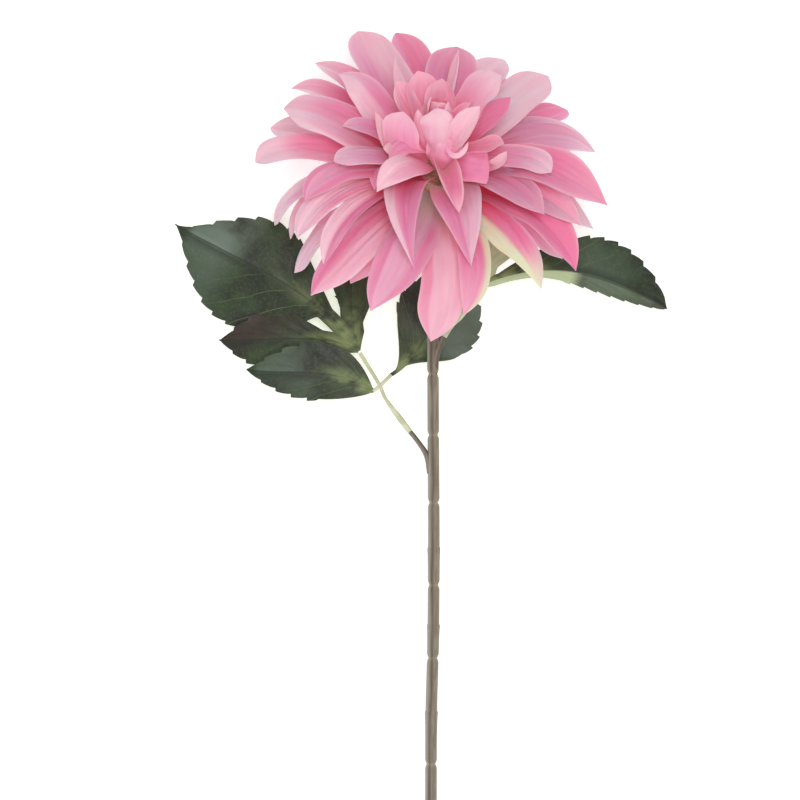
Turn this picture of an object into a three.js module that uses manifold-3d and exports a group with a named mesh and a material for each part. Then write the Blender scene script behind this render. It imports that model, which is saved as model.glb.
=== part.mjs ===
// A cut dahlia stem lying on a table: one large open bloom, its green calyx, a jointed stem and two leaves.
// Millimetres and degrees. +Z is up from the table, +Y runs along the stem towards the bloom, and the
// origin is on the table under the middle of the whole stem.
import * as THREE from "three";
import { mergeVertices } from "three/addons/utils/BufferGeometryUtils.js";
import Module from "manifold-3d";

const wasm = await Module();
wasm.setup();

// Driving dimensions
const GAP = 0.35; // clearance where two pieces meet
const BLOOM_BASE = new THREE.Vector3(7.75, 119, 63.1); // foot of the bloom's core
const BLOOM_TILT = 50; // angle from the stem's line up to the bloom's axis
const PETAL_THICKNESS = 0.7;
const LEAF_THICKNESS = 0.8;
const STEM_RADIUS = 3.1; // at the cut end
const STEM_TAPER = 0.3; // how much thinner it is under the bloom

// Colours of the pieces
const PETAL_PINK = 0xe68fb0;
const CALYX_GREEN = 0x9fae78;
const STEM_BROWN = 0x8d8574;
const STALK_GREEN = 0xc3cca0;
const LEAF_GREEN = 0x3e4d3a;

const vector = (x, y, z) => new THREE.Vector3(x, y, z);
const radians = THREE.MathUtils.degToRad;
const smoothRise = (x) => Math.sin((Math.PI / 2) * Math.min(x, 1));

// Solids
const MERGE_DISTANCE = 1e-4;
const BLADE_COLUMNS = 2;

function toSolid(geometry) {
  const bare = new THREE.BufferGeometry()
    .setAttribute("position", geometry.getAttribute("position"))
    .setIndex(geometry.index);
  const merged = mergeVertices(bare, MERGE_DISTANCE);
  return new wasm.Manifold(
    new wasm.Mesh({
      numProp: 3,
      vertProperties: new Float32Array(merged.attributes.position.array),
      triVerts: new Uint32Array(merged.index.array),
    }),
  );
}

function toMesh(name, solid, color, roughness) {
  const { numProp, vertProperties, triVerts } = solid.getMesh();
  const position = new Float32Array((vertProperties.length / numProp) * 3);
  for (let i = 0; i < position.length / 3; i++) {
    position.set(vertProperties.subarray(i * numProp, i * numProp + 3), i * 3);
  }
  const geometry = new THREE.BufferGeometry()
    .setAttribute("position", new THREE.BufferAttribute(position, 3))
    .setIndex(new THREE.BufferAttribute(new Uint32Array(triVerts), 1));
  geometry.computeVertexNormals();
  const material = new THREE.MeshStandardMaterial({ color, roughness, metalness: 0 });
  const mesh = new THREE.Mesh(geometry, material);
  mesh.name = name;
  return mesh;
}

// Joins solids and keeps the outer shell alone, so that small hollows closed in between petals are filled.
function join(solids) {
  const shells = solids.reduce((all, next) => all.add(next)).decompose();
  return shells.reduce((outer, shell) => (shell.volume() > outer.volume() ? shell : outer));
}

// A closed blade of even thickness about the surface point(u, v), with u from -1 to 1 across it and v
// along the given rows. Both faces are split into triangles along the same diagonals.
function bladeSolid(point, rows, thickness) {
  const step = 1e-3;
  const position = [];
  const index = [];
  const side = BLADE_COLUMNS + 1;
  for (const face of [1, -1]) {
    for (const v of rows) {
      for (let i = 0; i <= BLADE_COLUMNS; i++) {
        const u = (2 * i) / BLADE_COLUMNS - 1;
        const across = point(u + step, v).sub(point(u - step, v));
        const along = point(u, v + step).sub(point(u, v - step));
        const normal = across.cross(along).normalize();
        position.push(...point(u, v).addScaledVector(normal, (face * thickness) / 2));
      }
    }
  }
  const under = side * rows.length;
  const quad = (a, b, c, d) => index.push(a, b, d, b, c, d);
  for (let j = 0; j < rows.length - 1; j++) {
    for (let i = 0; i < BLADE_COLUMNS; i++) {
      const a = j * side + i;
      quad(a, a + 1, a + 1 + side, a + side);
      index.push(under + a, under + a + side, under + a + 1);
      index.push(under + a + 1, under + a + side, under + a + 1 + side);
    }
    const left = j * side;
    const right = left + BLADE_COLUMNS;
    quad(left, left + side, under + left + side, under + left);
    quad(right + side, right, under + right, under + right + side);
  }
  const last = side * (rows.length - 1);
  for (let i = 0; i < BLADE_COLUMNS; i++) {
    quad(i + 1, i, under + i, under + i + 1);
    quad(last + i, last + i + 1, under + last + i + 1, under + last + i);
  }
  const geometry = new THREE.BufferGeometry()
    .setAttribute("position", new THREE.BufferAttribute(new Float32Array(position), 3))
    .setIndex(index);
  return toSolid(geometry);
}

// A round stalk turned from [distance, radius] pairs and then bent along a curve of that length.
function bentStalk(profile, points, sides) {
  const curve = new THREE.CatmullRomCurve3(points);
  const reach = profile[profile.length - 1][0];
  const outline = [[0, 0], ...profile, [reach, 0]].map(
    ([distance, radius]) => new THREE.Vector2(radius, distance),
  );
  const geometry = new THREE.LatheGeometry(outline, sides);
  const place = geometry.attributes.position;
  for (let i = 0; i < place.count; i++) {
    const share = THREE.MathUtils.clamp(place.getY(i) / reach, 0, 1);
    const heading = curve.getTangentAt(share);
    const up = vector(0, 0, 1).addScaledVector(heading, -heading.z).normalize();
    const sideways = heading.clone().cross(up);
    const spot = curve
      .getPointAt(share)
      .addScaledVector(sideways, place.getX(i))
      .addScaledVector(up, place.getZ(i));
    place.setXYZ(i, ...spot);
  }
  return toSolid(geometry);
}

// The bloom: petals in rings up a short core. A petal is [heading, lift, length] with a width and a bow
// where they differ from the ring's. Heading 0 is the lowest, front petal and 90 is to the right. Lift is
// the angle of the line from root to tip above the plane square to the bloom's axis.
const RINGS = [
  {
    height: 1, width: 22, bow: 0.12, cup: 0.12, // guard petals, which the bloom rests on
    petals: [
      [8, 4, 82], [72, -26, 66], [93, -25, 80], [104, -20, 82], [122, -14, 76], [147, -13, 80],
      [172, -12, 76], [195, -13, 77], [216, -13, 80], [238, -14, 78], [264, -26, 84, 20, 0.2],
      [270, -33, 80, 19, 0.18], [279, -38, 82, 20, 0.16], [298, -24, 62], [318, -16, 60],
      [340, -10, 58],
    ],
  },
  {
    height: 4, width: 25, bow: 0.08, cup: 0.15,
    petals: [
      [135, -8, 86], [157, -2, 80], [192, 9, 88], [220, 7, 90], [229, 1, 92], [242, -1, 89],
    ],
  },
  {
    height: 7, width: 25, bow: 0.09, cup: 0.18,
    petals: [
      [37, 1, 83, 22, 0.04], [50, 2, 86, 22, 0.07], [67, 14, 86, 26, 0.16], [117, -15, 85, 30, 0.13],
      [157, 1, 84, 28], [204, 13, 88, 27], [274, 15, 88], [319, -3, 88], [339, 0, 85, 27, 0.06],
      [358, -9, 87, 27, 0.03],
    ],
  },
  {
    height: 13, width: 23, bow: 0.08, cup: 0.22,
    petals: [
      [13, 12, 70, 25, 0.05], [58, 7, 77], [138, 2, 77, 27, 0.04], [172, 14, 67, 27], [242, 43, 68],
      [260, 28, 80, 26, 0.1], [300, 19, 73, 22, 0.14], [305, 5, 79, 22, 0.14], [317, 1, 76],
    ],
  },
  {
    height: 19, width: 22, bow: 0.05, cup: 0.3,
    petals: [
      [48, 13, 66], [66, 24, 62], [119, 40, 48], [127, 54, 54, 26], [167, 39, 53, 9],
      [205, 37, 54, 8], [268, 38, 52, 12], [294, 31, 57, 22, 0.1], [350, 1, 64, 26],
    ],
  },
  {
    height: 25, width: 18, bow: -0.03, cup: 0.4,
    petals: [
      [13, 14, 43], [43, 33, 38, 22], [50, 40, 46, 8], [174, 63, 38], [202, 57, 42],
      [229, 56, 42], [318, 42, 41], [320, 19, 46, 22, 0.15],
    ],
  },
  {
    height: 30, width: 15, bow: -0.12, cup: 0.5,
    petals: [
      [10, 62, 26], [54, 53, 24], [92, 52, 32, 18], [124, 44, 28], [165, 66, 26], [210, 66, 26],
      [256, 42, 34], [285, 58, 34, 19],
    ],
  },
  {
    height: 33, width: 14, bow: -0.2, cup: 0.6, // the closed bud
    petals: [
      [0, 82, 23], [60, 80, 23], [120, 82, 22], [180, 80, 23], [240, 82, 22], [300, 80, 23],
    ],
  },
];
const CORE_PROFILE = [[-1, 9.5], [8, 9.5], [20, 8], [30, 5.5], [36, 3], [38, 0]]; // height, radius
const ROOT_DEPTH = 3; // how far a petal's root is sunk into the core
const PETAL_WIDEST = 0.56; // share of the length
const PETAL_CLAW = 0.26; // width at the root as a share of the width
const PETAL_TIP = 0.035; // width at the tip as a share of the width
const PETAL_TAPER = 1.7; // above 1 for a blunter tip
const PETAL_ROWS = [0, 0.2, 0.42, 0.64, 0.84, 1];
const CORE_SIDES = 12;

function petalShare(v) {
  const spread = PETAL_CLAW + (1 - PETAL_CLAW) * smoothRise(v / PETAL_WIDEST);
  const past = Math.max((v - PETAL_WIDEST) / (1 - PETAL_WIDEST), 0);
  return Math.max(spread * Math.cos((Math.PI / 2) * past ** PETAL_TAPER), PETAL_TIP);
}

function coreRadius(height) {
  const above = CORE_PROFILE.findIndex(([h]) => h >= height);
  const [h0, r0] = CORE_PROFILE[above - 1];
  const [h1, r1] = CORE_PROFILE[above];
  return r0 + ((r1 - r0) * (height - h0)) / (h1 - h0);
}

const tilt = radians(BLOOM_TILT);
const AXIS = vector(0, Math.cos(tilt), Math.sin(tilt));
const FRONT = vector(0, -Math.sin(tilt), Math.cos(tilt));
const RIGHT = vector(1, 0, 0);
const onAxis = (height) => BLOOM_BASE.clone().addScaledVector(AXIS, height);

// A blade that grows from the bloom's axis: outwards along a heading, at a lift above the plane.
function rayFrame(heading, lift) {
  const turn = radians(heading);
  const out = FRONT.clone().multiplyScalar(Math.cos(turn)).addScaledVector(RIGHT, Math.sin(turn));
  const along = out
    .clone()
    .multiplyScalar(Math.cos(radians(lift)))
    .addScaledVector(AXIS, Math.sin(radians(lift)));
  const upper = AXIS.clone().addScaledVector(along, -AXIS.dot(along)).normalize();
  const across = along.clone().cross(upper);
  return { out, along, upper, across };
}

function petalSolid(ring, [heading, lift, length, width = ring.width, bow = ring.bow]) {
  const { out, along, upper, across } = rayFrame(heading, lift);
  const root = onAxis(ring.height).addScaledVector(out, coreRadius(ring.height) - ROOT_DEPTH);
  const point = (u, v) => {
    const half = (width / 2) * petalShare(THREE.MathUtils.clamp(v, 0, 1));
    const rise = bow * length * 4 * v * (1 - v) + ring.cup * half * u * u;
    return root
      .clone()
      .addScaledVector(along, length * v)
      .addScaledVector(upper, rise)
      .addScaledVector(across, half * u);
  };
  return bladeSolid(point, PETAL_ROWS, PETAL_THICKNESS);
}

function coreSolid() {
  const outline = [[CORE_PROFILE[0][0], 0], ...CORE_PROFILE].map(([h, r]) => new THREE.Vector2(r, h));
  return toSolid(new THREE.LatheGeometry(outline, CORE_SIDES).applyMatrix4(axisMatrix()));
}

// Takes a shape turned about +Y to the bloom's axis.
function axisMatrix() {
  return new THREE.Matrix4()
    .makeBasis(RIGHT, AXIS, RIGHT.clone().cross(AXIS))
    .setPosition(BLOOM_BASE);
}

function bloomSolid() {
  const petals = RINGS.flatMap((ring) => ring.petals.map((petal) => petalSolid(ring, petal)));
  return join([coreSolid(), ...petals]);
}

// The calyx: a small green cup under the core with a ring of bracts bent back towards the stem.
const CALYX_TOP = CORE_PROFILE[0][0] - GAP;
const CALYX_PROFILE = [[-13, 3.3], [-8, 5.3], [-3, 8.5], [0, 8.5]]; // height from the rim, radius
const CALYX_DEPTH = -CALYX_PROFILE[0][0];
const BRACT_COUNT = 6;
const BRACT_LENGTH = 17;
const BRACT_WIDTH = 8;
const BRACT_LIFT = -62;
const BRACT_BOW = 0.12;
const BRACT_ROOT = { height: CALYX_TOP - 3.5, radius: 5.5 };
const BRACT_ROWS = [0, 0.3, 0.6, 0.85, 1];

function calyxSolid() {
  const outline = [[-CALYX_DEPTH, 0], ...CALYX_PROFILE, [0, 0]].map(
    ([height, radius]) => new THREE.Vector2(radius, CALYX_TOP + height),
  );
  const cup = toSolid(new THREE.LatheGeometry(outline, CORE_SIDES).applyMatrix4(axisMatrix()));
  const bracts = Array.from({ length: BRACT_COUNT }, (_, i) => {
    const { out, along, upper, across } = rayFrame((360 / BRACT_COUNT) * (i + 0.5), BRACT_LIFT);
    const root = onAxis(BRACT_ROOT.height).addScaledVector(out, BRACT_ROOT.radius);
    const point = (u, v) => {
      const half = (BRACT_WIDTH / 2) * petalShare(THREE.MathUtils.clamp(v, 0, 1));
      return root
        .clone()
        .addScaledVector(along, BRACT_LENGTH * v)
        .addScaledVector(upper, BRACT_BOW * BRACT_LENGTH * 4 * v * (1 - v))
        .addScaledVector(across, half * u);
    };
    return bladeSolid(point, BRACT_ROWS, LEAF_THICKNESS);
  });
  return join([cup, ...bracts]);
}

// The stem: a gently bent rod with grooves and raised rings where it was jointed, and two short stubs
// that carry the leaf stalks.
const STEM_POINTS = [
  vector(5, -200, 3.1),
  vector(5.2, -144, 8.9),
  vector(6.1, -107, 12.8),
  vector(6.4, -57, 18),
  vector(6.1, -2, 23.8),
  vector(5.9, 45, 28.7),
  vector(6.3, 78, 33),
  vector(7.2, 95, 38.5),
  onAxis(-20),
  onAxis(CALYX_TOP - CALYX_DEPTH - GAP),
];
const GROOVES = [30, 84.5, 122, 164, 198.5, 229.5]; // distances from the cut end
const GROOVE_DEPTH = 0.65;
const GROOVE_HALF = 1.6;
const RAISED_RINGS = [57, 101.5, 141]; // distances from the cut end
const RAISED_BY = 0.3;
const RAISED_HALF = 0.9;
const STOPS_FROM_FOOT = [0, 15]; // where the plain rod is divided, up from the cut end
const STOPS_FROM_TOP = [62, 40, 26, 13, 0]; // and down from the calyx
const STEM_SIDES = 10;
const STALK_SIDES = 8;
const LEFT_STUB = [vector(5.5, -19, 22.3), vector(-0.3, -9.4, 23.7), vector(-5.6, -1.3, 24.5)];
const RIGHT_STUB = [vector(6, 28, 27.2), vector(7.8, 38.5, 31), vector(11.4, 47.2, 33.2)];
const STUB_RADII = [[0, 1.6], [0.5, 1.55], [1, 1.5]]; // share of the length, radius

const curveLength = (points) => new THREE.CatmullRomCurve3(points).getLength();

function stalk(points, radii) {
  const length = curveLength(points);
  return bentStalk(radii.map(([share, radius]) => [share * length, radius]), points, STALK_SIDES);
}

function stemSolid() {
  const length = curveLength(STEM_POINTS);
  const radiusAt = (distance) => STEM_RADIUS - STEM_TAPER * (distance / length);
  const plain = (at) => [at, radiusAt(at)];
  const marks = [
    ...GROOVES.map((at) => ({ at, change: -GROOVE_DEPTH, half: GROOVE_HALF })),
    ...RAISED_RINGS.map((at) => ({ at, change: RAISED_BY, half: RAISED_HALF })),
  ].sort((a, b) => a.at - b.at);
  const profile = STOPS_FROM_FOOT.map(plain);
  for (const { at, change, half } of marks) {
    profile.push(plain(at - half), [at, radiusAt(at) + change], plain(at + half));
  }
  profile.push(...STOPS_FROM_TOP.map((below) => plain(length - below)));
  const stubs = [LEFT_STUB, RIGHT_STUB].map((points) => stalk(points, STUB_RADII));
  return join([bentStalk(profile, STEM_POINTS, STEM_SIDES), ...stubs]);
}

// The leaves. Each lobe runs from base to tip, and pairs are for its left and right halves. Its outline is
// a rounded bump that is widest at a share of its length, cut into forward-pointing teeth, with a "taper"
// above 1 for slimmer ends. Each half rises from the midrib by its "slope". The midrib arches up by "bow",
// and swings to the right by "bend" near its foot and near its tip. "webbed" widens a lobe's foot, and
// "pinched" keeps its left half narrow up to a share of the length, and lets it widen up to a second one.
const TOOTH_DEPTH = 1.6;
const TEETH_FROM = 0.22; // share of the length
const TEETH_TO = 0.99;
const LEAF_BASE_HALF = 1.1;
const LEAF_TIP_HALF = 0.5;
const TOOTH_NOTCH = 0.008;
const WEB_RISE = 20; // how fast a webbed foot widens, in mm over the whole length
const FOOT_ROWS = [0, 0.07, 0.16];

function leafHalf(v, { teeth, webbed = 0 }, width, widest, taper) {
  const power = Math.log(0.5) / Math.log(widest);
  const bump = Math.sin(Math.PI * v ** power) ** taper;
  const toothed = v > TEETH_FROM && v < TEETH_TO;
  const tooth = toothed ? ((v * teeth) % 1) * TOOTH_DEPTH * Math.min(1, 3 * bump) : 0;
  const least = v < 0.5 ? LEAF_BASE_HALF + Math.min(WEB_RISE * v, webbed) : LEAF_TIP_HALF;
  return Math.max(bump * width + tooth, least);
}

function leafSolid(lobe) {
  const { base, tip, bend, teeth, pinched } = lobe;
  const along = tip.clone().sub(base);
  const length = along.length();
  along.normalize();
  const upper = vector(0, 0, 1).addScaledVector(along, -along.z).normalize();
  const across = along.clone().cross(upper);
  const point = (u, v) => {
    const share = THREE.MathUtils.clamp(v, 0, 1);
    const hand = u < 0 ? 0 : 1;
    const opened = hand === 0 && pinched ? THREE.MathUtils.smoothstep(share, ...pinched) : 1;
    const width = lobe.width[hand] * opened;
    const half = leafHalf(share, lobe, width, lobe.widest[hand], lobe.taper[hand]);
    const swing = 6.75 * v * (1 - v) * (bend[0] * (1 - v) + bend[1] * v);
    return base
      .clone()
      .addScaledVector(along, length * v)
      .addScaledVector(upper, lobe.bow * 4 * v * (1 - v) + lobe.slope[hand] * half * Math.abs(u))
      .addScaledVector(across, half * u + swing);
  };
  const rows = [...FOOT_ROWS];
  for (let i = Math.ceil(TEETH_FROM * teeth); i < teeth; i++) {
    rows.push(i / teeth - TOOTH_NOTCH, i / teeth + TOOTH_NOTCH);
  }
  rows.push(1);
  return bladeSolid(point, rows, LEAF_THICKNESS);
}

const LEFT_STALK = [
  vector(-6, -0.7, 24.5),
  vector(-10.9, 6.9, 24),
  vector(-17.3, 14.9, 22),
  vector(-20.9, 22.1, 20),
  vector(-31, 38.8, 16.2),
];
const LEFT_JUNCTION = LEFT_STALK[3];
const LOWER_LEAFLET_BASE = vector(-24.2, 19.5, 18.6);
const REAR_LEAFLET_BASE = vector(-15.3, 27.7, 17.5);
const LEFT_BLADE_BASE = vector(-31.9, 40, 15.9);
const RIGHT_STALK = [
  vector(11.9, 48, 33.5),
  vector(15.3, 53, 34.6),
  vector(19.9, 57.3, 35.5),
  vector(24.4, 63.8, 36.5),
  vector(29.2, 71, 37.4),
];
const RIGHT_BLADE_BASE = vector(30.1, 72.3, 37.6);

const LEAVES = {
  left_leaf_blade: [
    {
      base: LEFT_BLADE_BASE, tip: vector(-125.4, 104.7, 4), width: [31.5, 25], widest: [0.57, 0.6],
      taper: [1.3, 1.7], bend: [6.5, 1], bow: 3, slope: [-0.25, -0.08], teeth: 14, webbed: 3,
      pinched: [0.18, 0.33],
    },
    {
      base: LEFT_BLADE_BASE, tip: vector(-103, 45.6, 4), width: [13, 14], widest: [0.62, 0.62],
      taper: [1.1, 1.2], bend: [4, 0], bow: 1.5, slope: [-0.2, 0], teeth: 10, webbed: 4,
    },
    {
      base: LEFT_BLADE_BASE, tip: vector(-34, 104, 8), width: [9, 14], widest: [0.6, 0.6],
      taper: [1.2, 1], bend: [-3, 0], bow: 1, slope: [-0.15, -0.15], teeth: 9, webbed: 4,
    },
  ],
  left_leaf_lower_leaflet: [
    {
      base: LOWER_LEAFLET_BASE, tip: vector(-88.9, 30.5, 9), width: [13, 16], widest: [0.43, 0.43],
      taper: [0.95, 0.95], bend: [4.5, 0], bow: 3, slope: [-0.15, -0.05], teeth: 8,
    },
  ],
  left_leaf_rear_leaflet: [
    {
      base: REAR_LEAFLET_BASE, tip: vector(19.8, 85.2, 8), width: [20, 23.5], widest: [0.53, 0.58],
      taper: [1.4, 0.85], bend: [5, 0], bow: 2, slope: [-0.1, -0.1], teeth: 10,
    },
  ],
  right_leaf_blade: [
    {
      base: RIGHT_BLADE_BASE, tip: vector(125, 61.3, 10), width: [20, 6], widest: [0.62, 0.62],
      taper: [0.7, 0.8], bend: [-9, -4], bow: 7, slope: [-0.2, -0.9], teeth: 13, webbed: 2,
    },
    {
      base: RIGHT_BLADE_BASE, tip: vector(49.8, 121, 28), width: [12, 14], widest: [0.6, 0.6],
      taper: [1.4, 1.1], bend: [-1, 0], bow: 2, slope: [-0.15, -0.15], teeth: 8, webbed: 2,
    },
  ],
};
const LEFT_STALK_RADII = [[0, 1.4], [0.2, 1.5], [0.42, 0.85], [1, 1]]; // share of the length, radius
const RIGHT_STALK_RADII = [[0, 1.6], [0.4, 1.3], [1, 1.2]];
const BRANCH_RADII = [[0, 1.05], [0.5, 1], [1, 0.95]];

// Straight branches of the left stalk, each with how far it stops from its leaflet's foot.
const LEFT_BRANCHES = [
  [LOWER_LEAFLET_BASE, 1.3],
  [REAR_LEAFLET_BASE, 0.9],
].map(([base, short]) => {
  const end = base.clone().lerp(LEFT_JUNCTION, short / base.distanceTo(LEFT_JUNCTION));
  return [LEFT_JUNCTION, LEFT_JUNCTION.clone().lerp(end, 0.5), end];
});
const leftStalk = [
  stalk(LEFT_STALK, LEFT_STALK_RADII),
  ...LEFT_BRANCHES.map((points) => stalk(points, BRANCH_RADII)),
];

// The whole stem
const flower = new THREE.Group();
flower.add(toMesh("bloom", bloomSolid(), PETAL_PINK, 0.75));
flower.add(toMesh("calyx", calyxSolid(), CALYX_GREEN, 0.7));
flower.add(toMesh("stem", stemSolid(), STEM_BROWN, 0.6));
flower.add(toMesh("left_leaf_stalk", join(leftStalk), STALK_GREEN, 0.6));
flower.add(toMesh("right_leaf_stalk", stalk(RIGHT_STALK, RIGHT_STALK_RADII), STALK_GREEN, 0.6));
for (const [name, lobes] of Object.entries(LEAVES)) {
  flower.add(toMesh(name, join(lobes.map(leafSolid)), LEAF_GREEN, 0.55));
}

export default flower;
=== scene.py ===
import random
from functools import partial
from math import cos, exp, log, pi, radians, sin, sqrt

import bmesh
import bpy
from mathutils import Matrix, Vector, noise


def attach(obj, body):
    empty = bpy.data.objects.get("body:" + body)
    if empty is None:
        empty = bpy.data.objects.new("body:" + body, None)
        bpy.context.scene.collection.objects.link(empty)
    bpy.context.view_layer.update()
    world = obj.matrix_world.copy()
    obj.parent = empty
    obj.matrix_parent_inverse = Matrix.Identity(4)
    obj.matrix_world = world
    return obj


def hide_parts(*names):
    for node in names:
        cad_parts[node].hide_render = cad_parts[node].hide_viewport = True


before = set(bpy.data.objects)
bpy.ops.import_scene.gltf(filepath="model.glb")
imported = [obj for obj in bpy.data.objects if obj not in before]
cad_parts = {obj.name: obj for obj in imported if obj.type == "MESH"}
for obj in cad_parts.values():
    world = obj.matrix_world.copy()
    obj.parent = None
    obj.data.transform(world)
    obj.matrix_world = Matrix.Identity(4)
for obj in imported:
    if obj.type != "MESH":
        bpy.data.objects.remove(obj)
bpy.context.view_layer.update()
scene = bpy.context.scene
rng = random.Random(7)

# A millimetre in the scene's units, which are metres
MM = 0.001

# The table and the studio
# The stem lies on a plain white table and is looked at from straight above, which shows it as the
# photograph does. A white room lights it evenly, with a soft lamp high over the bloom and a bigger one past
# the stem's cut end.
CAMERA_PLACE = (-0.01075, 0.015, 2.45)
CAMERA_LENS = 216
CAMERA_SENSOR = 36
ROOM_COLOR = (1, 0.965, 0.97)
ROOM_STRENGTH = 0.55
TABLE_WHITE = (0.93, 0.93, 0.93)
TABLE_GLOW = 0.4
TABLE_HALF = 6


def set_inputs(node, values):
    for label, value in values.items():
        node.inputs[label].default_value = value


camera = bpy.data.objects.new("camera", bpy.data.cameras.new("camera"))
camera.location = CAMERA_PLACE
camera.data.lens = CAMERA_LENS
camera.data.sensor_width = CAMERA_SENSOR
scene.collection.objects.link(camera)
scene.camera = camera
scene.view_settings.view_transform = "Standard"

world = bpy.data.worlds.new("white_room")
world.use_nodes = True
room = world.node_tree.nodes["Background"]
set_inputs(room, {"Color": (*ROOM_COLOR, 1), "Strength": ROOM_STRENGTH})
scene.world = world


def soft_lamp(name, place, target, size, watts):
    lamp = bpy.data.objects.new(name, bpy.data.lights.new(name, "AREA"))
    lamp.data.shape = "DISK"
    lamp.data.size = size
    lamp.data.energy = watts
    lamp.location = place
    lamp.rotation_mode = "QUATERNION"
    lamp.rotation_quaternion = (Vector(target) - Vector(place)).to_track_quat("-Z", "Y")
    scene.collection.objects.link(lamp)


soft_lamp("key_lamp", place=(0.12, 0.35, 2.2), target=(0, 0.08, 0.05), size=0.6, watts=17)
soft_lamp("front_lamp", place=(-0.05, -1.1, 1.7), target=(0, 0.1, 0.05), size=1.2, watts=10.5)


def plain_material(name, base_color, roughness):
    """A new material, its node tree and its shader."""
    material = bpy.data.materials.new(name)
    material.use_nodes = True
    tree = material.node_tree
    shader = tree.nodes["Principled BSDF"]
    set_inputs(shader, {"Base Color": (*base_color, 1), "Roughness": roughness})
    return material, tree, shader


table = bmesh.new()
bmesh.ops.create_grid(table, x_segments=1, y_segments=1, size=TABLE_HALF)
table_mesh = bpy.data.meshes.new("table_top")
table.to_mesh(table_mesh)
table_top = bpy.data.objects.new("table_top", table_mesh)
white_table, _, table_shader = plain_material("white_table", TABLE_WHITE, 0.9)
set_inputs(table_shader, {"Emission Color": (1, 1, 1, 1), "Emission Strength": TABLE_GLOW})
table_top.data.materials.append(white_table)
scene.collection.objects.link(table_top)

# The bloom
# About eighty petals cut from dyed polyester cloth, heat-pressed into cupped and creased shapes, threaded
# in rings on a short moulded core and glued. The dye deepens to crimson at a petal's foot and pales to its
# tip. The crimson is partly painted shade of the crevices, the pale rims and middle bands are painted
# highlights, and the pale sides are partly painted light.
BLOOM_BASE = Vector((0.00775, 0.119, 0.0631))
BLOOM_TILT = radians(50)
AXIS = Vector((0, cos(BLOOM_TILT), sin(BLOOM_TILT)))
FRONT = Vector((0, -sin(BLOOM_TILT), cos(BLOOM_TILT)))
RIGHT = Vector((1, 0, 0))
CLOTH = 0.45 * MM
CORE_PROFILE = [(-1, 9.5), (8, 9.5), (20, 8), (30, 5.5), (36, 3), (38, 0.4)]
ROOT_DEPTH = 3 * MM
PETAL_WIDEST = 0.56
PETAL_NECK = 0.26
PETAL_TIP = 0.02
SIDE_CREASE = (0.42, 0.54)
ROLL_FROM = 0.7
EDGE_WAVE = 0.03
BUCKLE = 0.16
RIM_POWER = 9


def clamp(value, low=0.0, high=1.0):
    return max(low, min(high, value))


def smooth_step(low, high, value):
    share = clamp((value - low) / (high - low))
    return share * share * (3 - 2 * share)


def srgb(red, green, blue):
    levels = (red / 255, green / 255, blue / 255)
    return tuple(x / 12.92 if x <= 0.04045 else ((x + 0.055) / 1.055) ** 2.4 for x in levels)


def step_value(profile, at):
    """The value at a place in a list of (place, value) pairs, with straight lines between them."""
    for (a, first), (b, second) in zip(profile, profile[1:]):
        if at <= b:
            return first + (second - first) * clamp((at - a) / (b - a))
    return profile[-1][1]


def in_mm(*places):
    return [Vector(place) * MM for place in places]


def on_axis(height):
    return BLOOM_BASE + AXIS * height * MM


def ray_frame(heading, lift):
    """A petal's four directions: out from the axis, along it, up from its face, and across it."""
    turn = radians(heading)
    out = FRONT * cos(turn) + RIGHT * sin(turn)
    along = out * cos(radians(lift)) + AXIS * sin(radians(lift))
    upper = (AXIS - along * AXIS.dot(along)).normalized()
    return out, along, upper, along.cross(upper)


def petal_share(v, taper, widest, neck):
    """How wide a petal is at a share of its length, where 1 is its full width."""
    spread = neck + (1 - neck) * sin(pi / 2 * min(v / widest, 1))
    past = max((v - widest) / (1 - widest), 0)
    return max(spread * cos(pi / 2 * past**taper), PETAL_TIP)


def open_sheets():
    sheets = bmesh.new()
    # Vertex colours for the dye and for the painted light and shade
    sheets.verts.layers.float_color.new("dye_and_light")
    sheets.verts.layers.float.new("under")
    sheets.loops.layers.uv.new("cloth")
    return sheets


def thicken(sheets, faces, thickness):
    """Gives laid-out cloth its thickness and marks the underside."""
    under = sheets.verts.layers.float["under"]
    upper_side = {vertex for face in faces for vertex in face.verts}
    wall = bmesh.ops.solidify(sheets, geom=faces, thickness=thickness)["geom"]
    for vertex in wall:
        if isinstance(vertex, bmesh.types.BMVert) and vertex not in upper_side:
            vertex[under] = 1


def cross_section(columns, v, cup, fold, facet, roll):
    """Places (x, z) across a petal, in half widths. Its slope turns along the cup, at the middle crease, at
    the two side creases, and in the rolled edges."""
    envelope = sin(pi * clamp(v, 0.02, 0.98)) ** 0.5
    places = [(0.0, 0.0)] * (columns + 1)
    middle = columns // 2
    for side, edge_roll in ((1, roll[1]), (-1, roll[0])):
        x = z = 0.0
        for column in range(middle):
            u = (column + 0.5) / middle
            slope = 2 * cup * (1.5 - 0.8 * v) * u + radians(fold) * min(u / 0.1, 1)
            slope += radians(facet) * smooth_step(*SIDE_CREASE, u) * envelope
            slope += radians(edge_roll) * smooth_step(ROLL_FROM, 1, u) * envelope
            x += cos(slope) / middle
            z += sin(slope) / middle
            places[middle + side * (column + 1)] = (side * x, z)
    return places


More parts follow.
